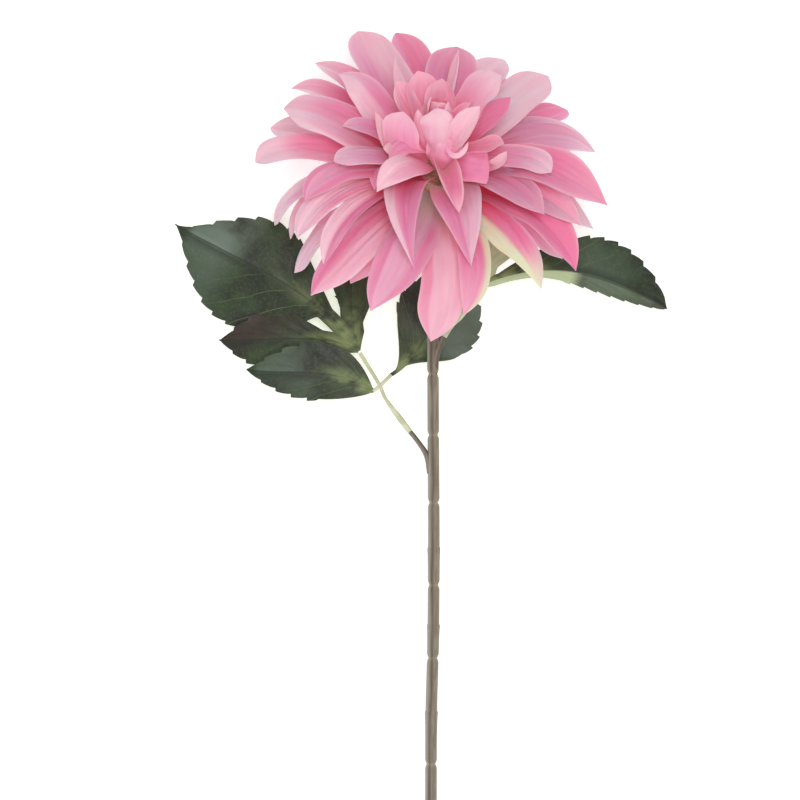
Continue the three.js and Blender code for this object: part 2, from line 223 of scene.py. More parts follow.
def petal_dye_and_light(
    u, v, tone, root=1.0, tip=0.5, rim=0.65, heart=0.0, wash=(0, 0), margin=0.0, green=(0, 0),
    green_from=0.15, green_tip=0.0, claw=0.0,
):
    """Four masks at a place on a petal: the deep rose, the pale, the green, and the crimson of the foot.
    The pale holds the dyed pale tip, a painted highlight on the rims and the middle band, and the pale
    sides, which are partly paler dye and partly painted light on a lit side. The crimson and the deeper
    rose near the foot are partly dye and partly painted shade of the crevices. heart pales the middle
    band as a painted highlight, and a negative heart deepens it with dye. claw turns the foot green, and
    margin is where a pale side begins."""
    middle_band = (1 - smooth_step(*SIDE_CREASE, abs(u))) * smooth_step(0.1, 0.45, v)
    left_share, right_share = (smooth_step(margin - 0.25, margin + 0.25, hand * u) for hand in (-1, 1))
    # Painted light: the rims and the middle band are painted highlights, and the sides are partly painted
    # light.
    pale = tip * smooth_step(0.6, 1.0, v) + rim * abs(u) ** RIM_POWER + max(heart, 0) * middle_band
    pale += (wash[0] * left_share + wash[1] * right_share) * smooth_step(0.05, 0.5, v)
    leafy = smooth_step(green_from, green_from + 0.45, abs(u)) * smooth_step(0.02, 0.25, v)
    leafy *= green[0] if u < 0 else green[1]
    leafy += claw * (1 - smooth_step(0.12, 0.4, v)) + green_tip * smooth_step(0.7, 0.95, v)
    # Painted shade: the crimson and the deeper rose near the foot are partly dye and partly crevice shade.
    crimson = (root - claw) * (1 - smooth_step(0.08, 0.58, v))
    deep = tone - heart * middle_band + 0.45 * root * (1 - smooth_step(0.3, 0.85, v))
    return clamp(deep), clamp(pale), clamp(leafy), clamp(crimson)


def pressed_petal(
    sheets, spine, length, width, *, cup=0.15, fold=6, facet=-12, roll=(0, 0), twist=0.0, taper=1.9,
    widest=PETAL_WIDEST, neck=PETAL_NECK, ruffle=0.07, pleats=0.04, tone=0.35, columns=28, rows=30,
    sheet=CLOTH, **dyes_and_light,
):
    """One petal along spine(v), which gives a place, the way its upper side looks, and the way across it.
    Left and right are its sides seen from the foot to the tip. Angles are in degrees: fold, facet and roll
    turn its cross-section up at the middle, at the side creases and at the edges."""
    half_width = width / 2
    phase = rng.uniform(0, 2 * pi)
    tone += rng.uniform(-0.14, 0.14)
    fold += rng.uniform(-6, 6)
    facet += rng.uniform(-8, 8)
    roll = [angle + rng.uniform(-22, 12) for angle in roll]
    turn_over = radians(twist + rng.uniform(-8, 8))
    pleat_count = rng.choice((5, 6, 7))
    spot = Vector((rng.uniform(0, 9), rng.uniform(0, 9)))
    dye_and_light = sheets.verts.layers.float_color["dye_and_light"]
    cloth = sheets.loops.layers.uv["cloth"]
    shares = [1 - (1 - row / rows) ** 1.25 for row in range(rows + 1)]
    sections = [(spine(v), cross_section(columns, v, cup, fold, facet, roll)) for v in shares]
    made = bmesh.ops.create_grid(sheets, x_segments=columns, y_segments=rows, size=1)["verts"]
    faces = list({face for vertex in made for face in vertex.link_faces})
    flat = {}
    for vertex in made:
        u = vertex.co.x
        row = round((vertex.co.y + 1) / 2 * rows)
        v = shares[row]
        (place, upper, across), section = sections[row]
        wave = 1 + EDGE_WAVE * sin(13 * v + 2 * phase + 2 * u)
        half = half_width * petal_share(v, taper, widest, neck) * wave
        x, z = (half * place for place in section[round((u + 1) / 2 * columns)])
        z += BUCKLE * half * noise.noise(Vector((1.6 * u, 4.5 * v, phase))) * smooth_step(0.1, 0.5, v)
        z += ruffle * half * u * u * sin(9 * v + phase + u) * v
        z += pleats * half * cos(pleat_count * pi * u + phase) * sin(pi * v) * (1 - u * u)
        turn = turn_over * smooth_step(0.2, 1, v)
        sideways, upward = x * cos(turn) - z * sin(turn), x * sin(turn) + z * cos(turn)
        vertex.co = place + across * sideways + upper * upward
        flat[vertex] = (half * u, length * v)
        vertex[dye_and_light] = petal_dye_and_light(u, v, tone, **dyes_and_light)
    for face in faces:
        for loop in face.loops:
            x, y = flat[loop.vert]
            loop[cloth].uv = (spot.x + x / MM / 100, spot.y + y / MM / 100)
    thicken(sheets, faces, sheet)


def petal(
    sheets, heading, lift, length, width=None, *, height, usual_width=22, foot=None, bow=0.08, sway=0.0,
    **looks,
):
    """A petal that leaves the bloom's axis at a heading and a lift. bow arches it, and sway swings its
    middle to its right."""
    out, along, upper, across = ray_frame(heading, lift)
    foot_radius = step_value(CORE_PROFILE, height) * MM - ROOT_DEPTH if foot is None else foot * MM
    base = on_axis(height) + out * foot_radius
    length *= MM

    def spine(v):
        arch = length * 4 * v * (1 - v)
        return base + along * length * v + upper * bow * arch + across * sway * arch, upper, across

    pressed_petal(sheets, spine, length, (width or usual_width) * MM, **looks)


def bent_petal(sheets, places, width, facing=AXIS, **looks):
    """A bent petal: its middle line is the smooth curve that starts at the first of four places,
    leaves it towards the second, and reaches the last from the third. Its upper side looks to facing."""
    a, b, c, d = in_mm(*places)
    facing = Vector(facing)

    def spine(v):
        w = 1 - v
        heading = ((b - a) * w * w + (c - b) * 2 * v * w + (d - c) * v * v).normalized()
        upper = (facing - heading * facing.dot(heading)).normalized()
        return a * w**3 + b * 3 * v * w * w + c * 3 * v * v * w + d * v**3, upper, heading.cross(upper)

    length = (b - a).length / 2 + (c - b).length / 2 + (d - a).length / 2
    pressed_petal(sheets, spine, length, width * MM, **looks)


def finish_piece(name, mesh_being_made, material, slot, *nodes):
    """Smooth faces with crisp cut edges, then the piece rides on the part and stands for its solids."""
    for face in mesh_being_made.faces:
        face.smooth = True
    for edge in mesh_being_made.edges:
        edge.smooth = edge.calc_face_angle(pi) < radians(50)
    mesh = bpy.data.meshes.new(name)
    mesh_being_made.to_mesh(mesh)
    mesh_being_made.free()
    piece = bpy.data.objects.new(name, mesh)
    piece.data.materials.append(material)
    scene.collection.objects.link(piece)
    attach(piece, "root")
    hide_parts(*nodes)


def new_group(name, inputs, outputs):
    group = bpy.data.node_groups.new(name, "ShaderNodeTree")
    for label, kind, value in inputs:
        socket = group.interface.new_socket(label, in_out="INPUT", socket_type=kind)
        if value is not None:
            socket.default_value = value
    for label, kind in outputs:
        group.interface.new_socket(label, in_out="OUTPUT", socket_type=kind)
    return group, group.nodes.new("NodeGroupInput"), group.nodes.new("NodeGroupOutput")


def mix_colors(tree, factor, first, second):
    """A mix of two colours, each given as a socket or a plain colour."""
    node = tree.nodes.new("ShaderNodeMix")
    node.data_type = "RGBA"
    for socket, value in ((node.inputs[0], factor), (node.inputs[6], first), (node.inputs[7], second)):
        if isinstance(value, bpy.types.NodeSocket):
            tree.links.new(value, socket)
        elif socket.type == "RGBA":
            socket.default_value = (*value, 1)
        else:
            socket.default_value = value
    return node.outputs[2]


def calculate(tree, operation, first, second=0.0):
    node = tree.nodes.new("ShaderNodeMath")
    node.operation = operation
    node.use_clamp = operation in {"MULTIPLY", "ADD", "SUBTRACT"}
    for socket, value in zip(node.inputs, (first, second)):
        if isinstance(value, bpy.types.NodeSocket):
            tree.links.new(value, socket)
        else:
            socket.default_value = value
    return node.outputs[0]


STREAK_STRETCH = (34, 2.2, 1)


def woven_cloth():
    """Fine weave and long soft streaks of dye, from a UV map in decimetres across and along the sheet."""
    group, given, result = new_group(
        "woven_cloth",
        [("Map", "NodeSocketVector", None), ("Threads", "NodeSocketFloat", 220.0)],
        [("Weave", "NodeSocketFloat"), ("Streaks", "NodeSocketFloat")],
    )
    nodes, link = group.nodes, group.links.new
    threads = []
    for direction in ("X", "Y"):
        wave = nodes.new("ShaderNodeTexWave")
        wave.bands_direction = direction
        wave.inputs["Distortion"].default_value = 0.6
        link(given.outputs["Map"], wave.inputs["Vector"])
        link(given.outputs["Threads"], wave.inputs["Scale"])
        threads.append(wave.outputs["Fac"])
    link(calculate(group, "MULTIPLY", *threads), result.inputs["Weave"])
    stretch = nodes.new("ShaderNodeMapping")
    stretch.inputs["Scale"].default_value = STREAK_STRETCH
    link(given.outputs["Map"], stretch.inputs["Vector"])
    streaks = nodes.new("ShaderNodeTexNoise")
    set_inputs(streaks, {"Scale": 1, "Detail": 3})
    link(stretch.outputs["Vector"], streaks.inputs["Vector"])
    link(streaks.outputs["Fac"], result.inputs["Streaks"])
    return group


WOVEN_CLOTH = woven_cloth()
# The crimson of a petal's foot, partly dye and partly painted shade of the crevices
CRIMSON = srgb(208, 58, 93)
ROSE_DEEP = srgb(212, 98, 145)
ROSE_MID = srgb(224, 163, 193)
ROSE_PALE = srgb(231, 196, 206)
CREAM_GREEN = srgb(206, 221, 190)
ROSE_UNDER = srgb(240, 176, 190)
# The colour of the petals' painted glow, which stands in for light coming through the cloth
PAINTED_GLOW_COLOR = (1, 0.3, 0.4)
RED_SCATTER = (1.0, 0.28, 0.33)
STREAK_CONTRAST = 0.9


def cloth_map(tree):
    node = tree.nodes.new("ShaderNodeUVMap")
    node.uv_map = "cloth"
    weave = tree.nodes.new("ShaderNodeGroup")
    weave.node_tree = WOVEN_CLOTH
    tree.links.new(node.outputs["UV"], weave.inputs["Map"])
    return weave


def attribute(tree, name):
    node = tree.nodes.new("ShaderNodeAttribute")
    node.attribute_name = name
    return node


def dye_and_light_masks(tree):
    """The four masks of a piece, painted on its vertices, and the mark of its underside. On petals they
    also hold painted highlights and painted shade of the crevices, and on leaves a painted sheen.
    """
    node = attribute(tree, "dye_and_light")
    split = tree.nodes.new("ShaderNodeSeparateColor")
    tree.links.new(node.outputs["Color"], split.inputs["Color"])
    return (*split.outputs, node.outputs["Alpha"], attribute(tree, "under").outputs["Fac"])


def add_bump(tree, shader, height, strength, distance):
    bump = tree.nodes.new("ShaderNodeBump")
    set_inputs(bump, {"Strength": strength, "Distance": distance})
    tree.links.new(height, bump.inputs["Height"])
    tree.links.new(bump.outputs["Normal"], shader.inputs["Normal"])


def petal_cloth(name, scatter, painted_glow):
    """scatter is how far light spreads in the cloth. The glow is painted light: an even emission in the
    colour of light come through the cloth, which lifts the shade.
    """
    material, tree, shader = plain_material(name, ROSE_MID, 0.6)
    deep, pale, leafy, crimson, under = dye_and_light_masks(tree)
    weave = cloth_map(tree)
    streaks = weave.outputs["Streaks"]
    streaked = calculate(tree, "ADD", deep, calculate(tree, "MULTIPLY", streaks, STREAK_CONTRAST))
    rose = calculate(tree, "SUBTRACT", streaked, STREAK_CONTRAST / 2)
    color = mix_colors(tree, rose, ROSE_MID, ROSE_DEEP)
    uneven = calculate(tree, "ADD", calculate(tree, "MULTIPLY", streaks, 0.8), 0.55)
    # Painted light: the pale holds the painted highlights and the painted light on the sides, with the dye.
    color = mix_colors(tree, calculate(tree, "MULTIPLY", pale, uneven), color, ROSE_PALE)
    color = mix_colors(tree, calculate(tree, "MULTIPLY", under, 0.5), color, ROSE_UNDER)
    # Painted shade: the crimson is partly dye and partly the shade of the crevices
    color = mix_colors(tree, crimson, color, CRIMSON)
    color = mix_colors(tree, leafy, color, CREAM_GREEN)
    tree.links.new(color, shader.inputs["Base Color"])
    set_inputs(shader, {
        "Subsurface Weight": 0.7,
        "Subsurface Radius": RED_SCATTER,
        "Subsurface Scale": scatter,
        "Emission Color": (*PAINTED_GLOW_COLOR, 1),
        "Emission Strength": painted_glow,
        "Sheen Weight": 0.1,
        "Sheen Roughness": 0.4,
        "Specular IOR Level": 0.3,
    })
    threads = calculate(tree, "MULTIPLY", weave.outputs["Weave"], 0.1)
    pleats = calculate(tree, "ADD", streaks, threads)
    add_bump(tree, shader, pleats, 0.5, 0.6 * MM)
    return material


# Both cloths carry a faint painted glow, and the heart's is stronger, to lift the shade deep in the bloom
PETAL_CLOTH = petal_cloth("petal_cloth", 2.2 * MM, 0.02)
HEART_CLOTH = petal_cloth("heart_cloth", 0.7 * MM, 0.1)

guard_sheets = open_sheets()
bent_guard = partial(bent_petal, guard_sheets)
guard = partial(petal, guard_sheets, height=1, bow=0.12, cup=0.12, tip=0.7, rim=0.5)
bent_guard(
    [(9, 115, 68), (23, 106, 97), (33, 79, 117), (20, 56, 123)], 16, green=(0.95, 0), green_from=0.4,
    cup=0.1,
)
guard(72, -26, 66, sway=-0.06)
guard(93, -25, 80, tip=0.9, wash=(0.3, 0.2), sway=-0.08, taper=1.5)
guard(104, -20, 82, sway=-0.08, taper=1.5)
guard(122, -14, 76, tone=0.6)
guard(147, -13, 80)
guard(172, -12, 76)
guard(195, -13, 77)
guard(216, -13, 80)
guard(238, -14, 78, sway=0.04)
bent_guard(
    [(1, 120, 63), (-30, 128, 66), (-66, 132, 58), (-74, 103, 30)], 16, facet=-35, wash=(0.3, 0.6),
    tip=0.9, taper=4, tone=0.5,
)
bent_guard(
    [(1, 120, 64), (-32, 126, 66), (-59, 123, 58), (-66, 96, 30)], 13, wash=(0.7, 0.6), tip=0.9, taper=3.4,
    fold=20,
)
bent_guard(
    [(1, 119, 65), (-30, 115, 66), (-57, 106, 60), (-64, 79, 32)], 16, wash=(0.8, 0.3), fold=-28, taper=4,
    tone=0.5,
)
guard(298, -24, 62, sway=0.1)
guard(318, -16, 60, tone=0.7)
guard(340, -10, 58, tone=0.7)
finish_piece("guard_petals", guard_sheets, PETAL_CLOTH, "petal", "bloom")

long_sheets = open_sheets()
bent_long = partial(bent_petal, long_sheets)
outer = partial(petal, long_sheets, height=4, usual_width=25)
bent_long(
    [(12, 124, 63), (33, 146, 56), (55, 157, 40), (74, 162, 17)], 17, tone=0.7, facet=-30, tip=0.1,
    taper=4, roll=(50, 0),
)
outer(157, -2, 80, 20, tone=0.8)
bent_long(
    [(6, 126, 62), (4, 155, 56), (0, 180, 40), (-13, 201, 18)], 23, tone=0.75, fold=34, tip=0.3, taper=2.3,
)
bent_long(
    [(4, 125, 63), (-13, 150, 58), (-31, 178, 48), (-54, 185, 27)], 17, tip=0.9, fold=24, taper=2.2,
    facet=-30, wash=(0.2, 0),
)
bent_long(
    [(3, 125, 63), (-21, 146, 58), (-44, 173, 46), (-66, 172, 26)], 17, tip=0.9, fold=28, taper=2.2,
    wash=(0.5, 0),
)
bent_long(
    [(2, 124, 64), (-25, 135, 62), (-55, 150, 56), (-76, 152, 36)], 19, tip=0.9, wash=(0.8, 0.6),
    taper=2.8, fold=12,
)
long_petal = partial(petal, long_sheets, height=7, usual_width=25, bow=0.09, cup=0.18)
bent_long(
    [(12, 120, 72), (31, 110, 97), (52, 98, 114), (58, 69, 114)], 23, green=(0, 0.95), green_tip=0.7,
    fold=-8, facet=-38, tone=0.4, tip=0.9, taper=1.05,
)
bent_long(
    [(13, 120, 71), (38, 118, 95), (67, 105, 110), (75, 78, 109)], 21, tone=0.7, heart=-0.5, fold=30,
    facet=-30, tip=0, taper=1.5,
)
long_petal(67, 14, 86, 26, bow=0.16, fold=14, rim=0.7, tip=0.4, tone=0.5, sway=-0.09, facet=-20)
bent_long(
    [(14, 126, 67), (34, 146, 68), (65, 157, 52), (88, 140, 26)], 27, heart=-0.5, facet=-34,
    wash=(0.2, 0.25), tone=0.45, taper=1.6,
)
bent_long(
    [(13, 133, 67), (23, 158, 62), (29, 179, 46), (42, 187, 24)], 19, tone=0.75, wash=(0.4, 0), tip=1.2,
    taper=2.6, heart=-0.4,
)
bent_long(
    [(5, 128, 65), (-4, 153, 63), (-18, 170, 54), (-32, 201, 29)], 28, tip=0.6, wash=(0, 0.6), fold=28,
    taper=3.4, widest=0.6,
)
bent_long(
    [(1, 123, 69), (-29, 134, 84), (-65, 146, 98), (-82, 132, 87)], 18, tone=0.6, tip=1.6, taper=4,
    root=1.2, fold=14, roll=(-20, -40), wash=(0.4, 0.1),
)
long_petal(319, -3, 88, 26, facet=-42, fold=-22, wash=(0.7, 0), tone=0.65, tip=0, taper=1.5, sway=0.02)
long_petal(
    339, 0, 85, 27, bow=0.06, facet=-40, fold=14, heart=0.4, tip=0.2, taper=1.5, sway=-0.045, root=0.3,
    claw=0.6,
)
bent_long(
    [(7.7, 118.5, 72.6), (10, 94, 91), (14, 66, 107), (4.3, 43.5, 117.5)], 23, facet=-35, fold=8,
    wash=(0.8, 0.4), heart=0.5, tip=0.1, taper=2, widest=0.62, root=0.4, claw=0.5, tone=0.3,
)
finish_piece("long_petals", long_sheets, PETAL_CLOTH, "petal", "bloom")

middle_sheets = open_sheets()
bent_middle = partial(bent_petal, middle_sheets)
mid_petal = partial(petal, middle_sheets, height=13, usual_width=23, cup=0.22)
bent_middle(
    [(9, 120, 80), (19, 120, 106), (20, 100, 120), (24, 80, 114)], 26, fold=32, facet=-34, tone=0.8,
    claw=0.5, cup=0.1, wash=(0.6, 0), tip=0.2, taper=0.85, widest=0.34, neck=0.4, root=0.8,
)
mid_petal(58, 7, 77, 21, tip=0.5, wash=(0.2, 0.2), sway=-0.08, facet=-25)
bent_middle(
    [(12, 130, 70), (26, 145, 67), (42, 165, 54), (64, 178, 34)], 23, tone=0.0, tip=0.9, wash=(1, 0.9),
    taper=3.2, widest=0.62,
)
mid_petal(172, 14, 68, 29, tone=0.6, tip=0.4, fold=20, taper=2.3)
bent_middle(
    [(3, 129, 71), (-12, 137, 87), (-21, 174, 93), (-41, 175, 91)], 21, wash=(0.8, 0.1), tone=0.6,
    fold=-14, roll=(0, 30),
)
bent_middle(
    [(2, 128, 72), (-25, 142, 90), (-46, 160, 97), (-68, 158, 93)], 28, taper=2.4, rim=0.8,
    wash=(0.5, 0.1), tip=0.7, roll=(-50, 0),
)
bent_middle(
    [(3, 124, 75), (-22, 134, 98), (-49, 132, 116), (-57, 112, 111)], 17, facet=-38, tone=0.7, heart=0.3,
    taper=2.2, tip=0.1,
)
bent_middle(
    [(3, 125, 75), (-24, 128, 98), (-52, 119, 112), (-61, 94, 108)], 15, facet=-38, heart=0.4, taper=2.4,
    wash=(0.2, 0.5),
)
bent_middle(
    [(4, 124, 76), (-20, 121, 98), (-43, 108, 113), (-48, 81, 111)], 13, facet=-30, wash=(0, 0.9), fold=28,
    taper=2.4, tone=0.6, tip=0.2,
)
short_petal = partial(petal, middle_sheets, height=19, bow=0.05, cup=0.3)
short_petal(48, 13, 66, 19, wash=(0.1, 0.2), tone=0.65, tip=0.3, sway=-0.07, facet=-20)
bent_middle(
    [(14, 130, 82), (27, 134, 97), (52, 139, 110), (63, 126, 108)], 15, facet=-20, tip=0.7, taper=3.6,
    wash=(0.2, 0.2), cup=0.3,
)
bent_middle([(13, 134, 78), (23, 146, 80), (34, 156, 80), (44, 165, 74)], 12, tone=0.45, tip=0, rim=0.3)
bent_middle(
    [(14, 138, 78), (20, 153, 88), (25, 169, 98), (39, 174, 96)], 21, tip=0.7, wash=(0.4, 0.5), fold=-10,
    roll=(0, 75), taper=2.6, cup=0.35,
)
short_petal(167, 39, 54, 12, tip=0.9, rim=1.5, tone=0.2, cup=1.1, facet=0, wash=(0.8, 0.8))
bent_middle(
    [(6, 135, 75), (0, 151, 79), (-12, 163, 80), (-13, 185, 74)], 9, tip=0.9, wash=(0.8, 0.8), fold=34,
    widest=0.35,
)
bent_middle([(3, 131, 78), (-11, 138, 90), (-24, 154, 100), (-39, 149, 101)], 12, tone=0.5, facet=-25)
bent_middle(
    [(3, 129, 79), (-11, 135, 95), (-30, 138, 110), (-43, 131, 113)], 13, facet=-24, wash=(0.1, 0.2),
    taper=3.4, rim=0.8,
)
bent_middle(
    [(1, 123, 84), (-12, 124, 106), (-10, 105, 124), (-4, 79, 117)], 25, facing=(-0.15, 0.4, 0.9), fold=24,
    facet=-14, wash=(0, 1), margin=0.45, tip=0.1, taper=0.75, widest=0.3, root=0.8, tone=0.6, neck=0.5,
)
finish_piece("middle_petals", middle_sheets, PETAL_CLOTH, "petal", "bloom")

heart_sheets = open_sheets()
cupped_petal = partial(
    petal, heart_sheets, height=25, usual_width=18, bow=-0.03, cup=0.4, facet=0, wash=(0.2, 0.2),
)
cupped_petal(174, 63, 38, taper=2.6)
cupped_petal(202, 57, 42, 19, taper=2.8, rim=0.8)
cupped_petal(229, 56, 42, 14, taper=2.8, rim=0.8)
cupped_petal(66, 38, 40, 14, taper=3)
bent_heart = partial(bent_petal, heart_sheets, facet=0, pleats=0.02)
bent_heart(
    [(9, 128, 87), (16, 132, 102), (23, 129.5, 110), (33, 129, 107)], 17, (0, 0.2, 1), tone=0.8, taper=14,
    widest=0.7, neck=0.5, cup=0.05, fold=-8, facet=-20, tip=0, rim=0.5, root=0.5, roll=(0, 50),
    ruffle=0.02,
)
bent_heart(
    [(10, 129.5, 86), (10.5, 125, 106), (15.5, 115, 113), (18, 106, 113)], 22, (0.05, 0.6, 0.8), fold=44,
    neck=0.8, cup=0.25, tone=0.9, widest=0.3, taper=1.3, tip=0.9, rim=1.4, root=0.6, claw=0.3, wash=(0, 1),
    margin=0.45,
)
bent_heart(
    [(2, 125, 80), (-13, 133, 95), (-22, 134, 105), (-23, 117, 106)], 13, (-0.8, 0.2, 0.6), tone=0.85,
    rim=0.8, root=0.4, tip=0.2,
)
bent_heart(
    [(5, 136, 88), (-1, 141, 102), (-10, 142, 108), (-16, 131, 108)], 9, (0, 0.4, 0.9), tone=0.95,
    root=0.3, tip=0.3, cup=-0.2, rim=0.7,
)
bent_heart(
    [(5, 130, 86), (-4, 132, 115), (-14, 130.5, 121), (-22, 116, 118)], 16, (-0.1, 0.35, 0.95), tone=0.25,
    cup=-0.2, widest=0.42, neck=0.3, taper=1.6, wash=(0.4, 0.9), root=0.3, tip=0.8, roll=(0, -30),
)
bent_heart(
    [(2, 132, 84), (-8, 136, 94), (-14, 138, 102), (-19, 138, 104)], 8, (0, 0.3, 1), tone=0,
    wash=(0.8, 0.8), tip=1, green=(0.3, 0.3), root=0.2,
)
bent_heart(
    [(14, 128, 80), (28, 127, 92), (39, 126, 109), (41, 136, 116)], 8, (-0.3, 0.3, 0.9), cup=0.7, tone=0,
    tip=1, wash=(1, 1), root=0.4, widest=0.75, neck=0.3,
)
bent_heart(
    [(12, 139, 107.5), (13.5, 132, 112.5), (20, 132, 114), (22.5, 141, 112)], 2.8, (0, -0.3, 1), tone=0,
    tip=0.8, wash=(0.8, 0.8), root=0, neck=0.5, columns=12, ruffle=0.3,
)
bud_petal = partial(bent_heart, tone=0.1, root=0.4, cup=0.7, rim=0.7, widest=0.5)
bud_petal(
    [(4, 134, 86), (-12.5, 129, 98), (-12.5, 146, 110), (-9, 155.5, 110)], 19, (0.35, 0.45, -0.8),
    tone=0.3, wash=(0.1, 0.2), taper=3, cup=0.4, neck=0.5, fold=-14,
)
bud_petal(
    [(3, 133, 84), (-15, 129, 90), (-20, 142, 101), (-23, 156, 105)], 11, (0.7, 0.2, 0.6), wash=(0.9, 0.7),
    cup=0.3, green=(0.2, 0), root=0.2, neck=0.6,
)
bud_petal(
    [(12.5, 137, 89), (14, 137, 104), (19, 145.5, 114), (28, 158, 115)], 15, (-0.3, 0.25, 0.9),
    wash=(0.8, 0.8), cup=0.35, taper=2.2, roll=(0, 60), root=0.1, neck=0.5,
)
bud_petal(
    [(8.5, 127.5, 86), (8.2, 128, 100), (10.5, 137, 107), (13.5, 143.5, 104)], 20, (0.15, 0.75, -0.65),
    tone=0.3, taper=4, claw=0.2, cup=0.45, roll=(-40, -60), wash=(0.1, 0.3), neck=0.5, widest=0.4,
)
bud_petal([(12, 142, 88), (15, 147, 100), (18, 154, 108), (24, 160, 109)], 11, (-0.4, 0.3, 0.8), cup=1)
bud_petal(
    [(4, 137, 88), (-2, 138, 98), (-5, 148, 107), (-2, 157, 107)], 14, (0.6, 0.5, -0.6), wash=(0.2, 0.2),
)
bud_petal([(12.5, 138, 90), (16.5, 140, 101), (17, 150, 109), (12.5, 157, 107)], 13, (-0.7, 0.5, -0.5))
bud_petal(
    [(7.5, 136, 90), (8, 136, 105), (7, 149, 115), (6, 157, 111)], 18, (0.05, 0.75, -0.65), taper=4,
    cup=0.5, wash=(0.9, 0.5), root=0.3, tip=0.9, neck=0.7, fold=-10, ruffle=0.2, tone=0.15, rim=1,
)
inner_bud = partial(
    petal, heart_sheets, height=32, cup=0.8, facet=0, tone=0.3, root=0.4, rim=1, taper=5, bow=-0.12,
)
for heading, lift, length in ((50, 92, 29), (160, 92, 31), (290, 93, 30), (100, 84, 32), (220, 84, 32)):
    inner_bud(heading, lift, length, 13)
for heading, lift, length in ((20, 93, 27), (140, 94, 26), (260, 94, 27)):
    inner_bud(heading, lift, length, 9, foot=2)
bud_leaf = partial(
    petal, heart_sheets, height=30, usual_width=15, bow=-0.12, cup=0.5, facet=0, tone=0.25, root=0.5,
    taper=2.6, wash=(0.2, 0.2), rim=0.7,
)
bud_leaf(54, 53, 24, 12, twist=-30)
bud_leaf(124, 44, 28)
bud_leaf(165, 66, 25, rim=1)
bud_leaf(210, 66, 24, rim=1)
finish_piece("heart_petals", heart_sheets, HEART_CLOTH, "petal", "bloom")

# The core of the bloom
# A short moulded spike of soft olive-green plastic with a pebbled skin. The petal rings are threaded on it
# and it shows only between the front petals.
OLIVE = srgb(196, 180, 138)
OLIVE_DARK = srgb(182, 140, 116)
LINE_STEPS = 40


def smooth_line(points):
    """Dense points of a smooth line through the given ones, each with its distance from the start."""
    ends = [points[0] * 2 - points[1], *points, points[-1] * 2 - points[-2]]
    line = [(0.0, points[0])]
    for a, b, c, d in zip(ends, ends[1:], ends[2:], ends[3:]):
        gap_a, gap_b, gap_c = (sqrt((q - p).length) for p, q in ((a, b), (b, c), (c, d)))
        leave = ((b - a) / gap_a - (c - a) / (gap_a + gap_b) + (c - b) / gap_b) * gap_b
        arrive = ((c - b) / gap_b - (d - b) / (gap_b + gap_c) + (d - c) / gap_c) * gap_b
        for step in range(1, LINE_STEPS + 1):
            t = step / LINE_STEPS
            spot = (
                b * (2 * t**3 - 3 * t * t + 1) + leave * (t**3 - 2 * t * t + t)
                + c * (3 * t * t - 2 * t**3) + arrive * (t**3 - t * t)
            )
            line.append((line[-1][0] + (spot - line[-1][1]).length, spot))
    return line


def along_line(line, distance):
    """The place and the heading at a distance along a smooth line."""
    for (start, p), (end, q) in zip(line, line[1:]):
        if distance <= end or (end, q) == line[-1]:
            return p + (q - p) * ((distance - start) / (end - start)), (q - p).normalized()


def edges_among(vertices):
    """The edges that join the given vertices to each other."""
    touching = {edge for vertex in vertices for edge in vertex.link_edges}
    return [edge for edge in touching if all(vertex in vertices for vertex in edge.verts)]


def rod(sheets, points, radius_at, sides=20, ring_gap=1.0, dye_at=None):
    """A closed round rod drawn out along a smooth line. radius_at and dye_at take the distance in mm and
    the angle round the rod, which is a quarter turn on its upper side."""
    line = smooth_line(points)
    length = line[-1][0]
    steps = max(2, round(length / MM / ring_gap))
    dye_and_light = sheets.verts.layers.float_color["dye_and_light"]
    before = len(sheets.faces)
    ring = bmesh.ops.create_circle(sheets, cap_ends=True, segments=sides, radius=1)["verts"]
    angles = {vertex: Vector((1, 0)).angle_signed(vertex.co.xy, 0) for vertex in ring}
    for step in range(steps + 1):
        if step:
            at_place = {tuple(vertex.co): angle for vertex, angle in angles.items()}
            drawn = bmesh.ops.extrude_edge_only(sheets, edges=edges_among(angles))["geom"]
            angles = {v: at_place[tuple(v.co)] for v in drawn if isinstance(v, bmesh.types.BMVert)}
        distance = length * step / steps
        place, heading = along_line(line, distance)
        up = (Vector((0, 0, 1)) - heading * heading.z).normalized()
        sideways = heading.cross(up)
        for vertex, angle in angles.items():
            radius = radius_at(distance / MM, angle) * MM
            vertex.co = place + (sideways * cos(angle) + up * sin(angle)) * radius
            vertex[dye_and_light] = dye_at(distance / MM, angle) if dye_at else (0, 0, 0, 0)
    bmesh.ops.edgeloop_fill(sheets, edges=edges_among(angles))
    bmesh.ops.recalc_face_normals(sheets, faces=sheets.faces[:][before:])


def object_noise(tree, scale, size=(1, 1, 1), detail=3):
    place = tree.nodes.new("ShaderNodeTexCoord")
    stretch = tree.nodes.new("ShaderNodeMapping")
    stretch.inputs["Scale"].default_value = size
    texture = tree.nodes.new("ShaderNodeTexNoise")
    set_inputs(texture, {"Scale": scale, "Detail": detail})
    tree.links.new(place.outputs["Object"], stretch.inputs["Vector"])
    tree.links.new(stretch.outputs["Vector"], texture.inputs["Vector"])
    return texture.outputs["Fac"]


def spread(tree, value, low, high):
    """Stretches a narrow range of a mask to 0 to 1."""
    node = tree.nodes.new("ShaderNodeMapRange")
    node.interpolation_type = "SMOOTHSTEP"
    set_inputs(node, {"From Min": low, "From Max": high})
    tree.links.new(value, node.inputs["Value"])
    return node.outputs["Result"]


def moulded_olive():
    material, tree, shader = plain_material("moulded_olive", OLIVE, 0.6)
    pebbles = object_noise(tree, 900)
    color = mix_colors(tree, spread(tree, pebbles, 0.4, 0.65), OLIVE_DARK, OLIVE)
    tree.links.new(color, shader.inputs["Base Color"])
    add_bump(tree, shader, pebbles, 0.5, 0.3 * MM)
    return material


